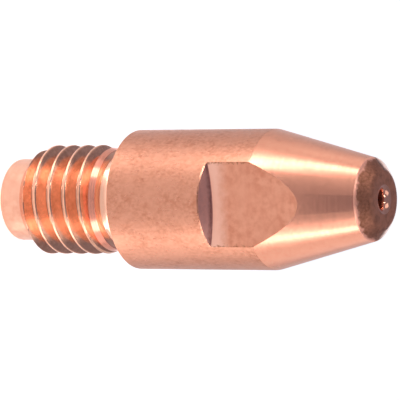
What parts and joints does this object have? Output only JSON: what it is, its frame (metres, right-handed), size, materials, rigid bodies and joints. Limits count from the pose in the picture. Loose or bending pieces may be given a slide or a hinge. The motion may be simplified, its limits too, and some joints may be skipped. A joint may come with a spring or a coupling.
{
  "type": "welding contact tip",
  "caption": "Turned copper welding contact tip with a plain spigot, a thread, a rounded neck and shoulder, wrench flats, a tapered nose and a through hole for the wire.",
  "frame": {"origin": "centre of the rear end face, on the axis of the wire hole", "axes": "+Z along the wire hole towards the nose, +Y and -Y square to the wrench flats"},
  "size_m": [0.01, 0.01, 0.03],
  "materials": {
    "copper": "turned copper, satin"
  },
  "bodies": {
    "root": {"contact_tip": "copper"}
  },
  "joints": []
}
